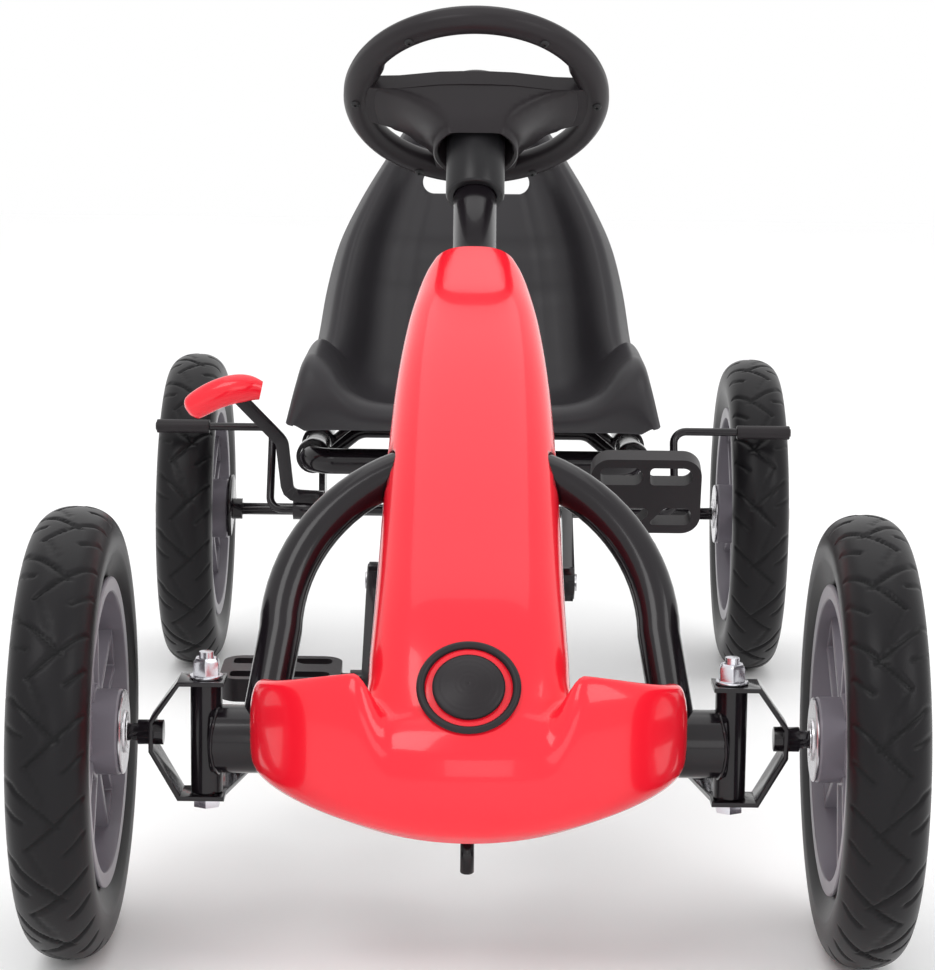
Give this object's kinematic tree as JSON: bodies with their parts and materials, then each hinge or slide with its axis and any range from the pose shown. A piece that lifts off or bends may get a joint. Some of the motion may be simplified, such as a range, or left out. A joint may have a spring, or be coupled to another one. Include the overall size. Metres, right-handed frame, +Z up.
{
  "type": "pedal kart",
  "caption": "Child's four-wheel pedal kart: tubular frame with linked steering, chain-driven rear axle, hand brake, moulded bucket seat and red nose fairing.",
  "frame": {"origin": "on the ground, midway between the axles and between the wheels", "axes": "+Z up, +Y towards the rear of the kart, +X towards the driver's left"},
  "size_m": [0.6376, 1.21, 0.6519],
  "materials": {
    "tyre_rubber": "matte dark rubber",
    "grey_plastic": "satin moulded grey plastic",
    "pale_plastic": "satin white plastic",
    "black_plastic": "satin moulded black plastic",
    "seat_plastic": "finely textured moulded plastic",
    "red_plastic": "glossy red plastic",
    "black_paint": "glossy black powder coat",
    "zinc": "bright zinc plate",
    "steel": "bright steel"
  },
  "bodies": {
    "frame": {"front_axle": "black_paint", "main_tube": "black_paint", "hoop": "black_paint", "column_tube": "black_paint", "column_bush": "pale_plastic", "rear_frame": "black_paint", "left_axle_bearing": "steel", "right_axle_bearing": "steel", "chain": "steel", "front_fairing": "red_plastic", "badge": "black_plastic"},
    "left_knuckle": {"front_left_knuckle": "black_paint", "left_kingpin_bolt": "zinc", "left_kingpin_nut": "zinc", "front_left_axle_cap": "pale_plastic"},
    "right_knuckle": {"front_right_knuckle": "black_paint", "right_kingpin_bolt": "zinc", "right_kingpin_nut": "zinc", "front_right_axle_cap": "pale_plastic"},
    "left_tie_rod": {"left_tie_rod": "zinc"},
    "right_tie_rod": {"right_tie_rod": "zinc"},
    "front_left_wheel": {"front_left_tyre": "tyre_rubber", "front_left_rim": "grey_plastic", "front_left_inner_bearing": "steel", "front_left_outer_bearing": "steel"},
    "front_right_wheel": {"front_right_tyre": "tyre_rubber", "front_right_rim": "grey_plastic", "front_right_inner_bearing": "steel", "front_right_outer_bearing": "steel"},
    "steering": {"steering_rod": "black_paint", "steering_sleeve": "black_plastic", "steering_wheel": "black_plastic", "steering_pad": "black_plastic"},
    "rear_axle": {"rear_axle": "steel", "rear_sprocket": "zinc", "drive_plate": "black_paint", "rear_left_axle_cap": "pale_plastic", "rear_right_axle_cap": "pale_plastic", "rear_right_rim": "grey_plastic", "rear_right_tyre": "tyre_rubber"},
    "rear_left_wheel": {"rear_left_tyre": "tyre_rubber", "rear_left_rim": "grey_plastic", "rear_left_inner_bearing": "steel", "rear_left_outer_bearing": "steel"},
    "crank": {"crank_spindle": "steel", "chainring": "black_paint", "left_crank_arm": "black_paint", "right_crank_arm": "black_paint"},
    "left_pedal": {"left_pedal": "black_plastic"},
    "right_pedal": {"right_pedal": "black_plastic"},
    "brake": {"brake_bar": "black_paint", "brake_lever": "black_paint", "brake_grip": "red_plastic", "left_brake_sleeve": "black_plastic", "right_brake_sleeve": "black_plastic", "brake_spring": "steel"},
    "seat": {"seat": "seat_plastic", "front_seat_arch": "black_paint", "rear_seat_arch": "black_paint", "seat_knob": "black_plastic"}
  },
  "joints": [
    {"name": "steering_turn", "type": "hinge", "parent": "frame", "child": "steering", "pos_m": [0, -0.1285, 0.465], "axis": [0, 0.6428, 0.766], "range_deg": [-30, 30]},
    {"name": "left_knuckle_turn", "type": "hinge", "parent": "frame", "child": "left_knuckle", "pos_m": [0.18, -0.45, 0.155], "axis": [0, 0, 1], "range_deg": [-21.5, 21.5]},
    {"name": "right_knuckle_turn", "type": "hinge", "parent": "frame", "child": "right_knuckle", "pos_m": [-0.18, -0.45, 0.155], "axis": [0, 0, 1], "range_deg": [-21.5, 21.5]},
    {"name": "left_tie_rod_turn", "type": "hinge", "parent": "left_knuckle", "child": "left_tie_rod", "pos_m": [0.165, -0.385, 0.122], "axis": [0, 0, 1], "range_deg": [-21.5, 21.5]},
    {"name": "right_tie_rod_turn", "type": "hinge", "parent": "right_knuckle", "child": "right_tie_rod", "pos_m": [-0.165, -0.385, 0.122], "axis": [0, 0, 1], "range_deg": [-21.5, 21.5]},
    {"name": "front_left_wheel_spin", "type": "hinge", "parent": "left_knuckle", "child": "front_left_wheel", "pos_m": [0.27, -0.45, 0.155], "axis": [1, 0, 0], "continuous": true},
    {"name": "front_right_wheel_spin", "type": "hinge", "parent": "right_knuckle", "child": "front_right_wheel", "pos_m": [-0.27, -0.45, 0.155], "axis": [1, 0, 0], "continuous": true},
    {"name": "rear_axle_spin", "type": "hinge", "parent": "frame", "child": "rear_axle", "pos_m": [0, 0.45, 0.155], "axis": [1, 0, 0], "continuous": true},
    {"name": "rear_left_wheel_spin", "type": "hinge", "parent": "frame", "child": "rear_left_wheel", "pos_m": [0.276, 0.45, 0.155], "axis": [1, 0, 0], "continuous": true},
    {"name": "crank_spin", "type": "hinge", "parent": "frame", "child": "crank", "pos_m": [0, -0.1, 0.193], "axis": [1, 0, 0], "continuous": true},
    {"name": "left_pedal_spin", "type": "hinge", "parent": "crank", "child": "left_pedal", "pos_m": [0.147, 0.00408, 0.25069], "axis": [1, 0, 0], "continuous": true},
    {"name": "right_pedal_spin", "type": "hinge", "parent": "crank", "child": "right_pedal", "pos_m": [-0.147, -0.20408, 0.13531], "axis": [1, 0, 0], "continuous": true},
    {"name": "brake_pull", "type": "hinge", "parent": "frame", "child": "brake", "pos_m": [0, 0.27, 0.186], "axis": [-1, 0, 0], "range_deg": [0, 7.5], "stiffness_Nm_per_rad": 3, "springref_deg": -8.59},
    {"name": "seat_slide", "type": "slide", "parent": "frame", "child": "seat", "axis": [0, 1, 0], "range_m": [0, 0.04]}
  ],
  "couplings": [
    {"joint": "left_knuckle_turn", "follows": "steering_turn", "ratio": 0.7},
    {"joint": "right_knuckle_turn", "follows": "steering_turn", "ratio": 0.7},
    {"joint": "left_tie_rod_turn", "follows": "steering_turn", "ratio": -0.7},
    {"joint": "right_tie_rod_turn", "follows": "steering_turn", "ratio": -0.7},
    {"joint": "crank_spin", "follows": "rear_axle_spin", "ratio": 0.55556}
  ]
}
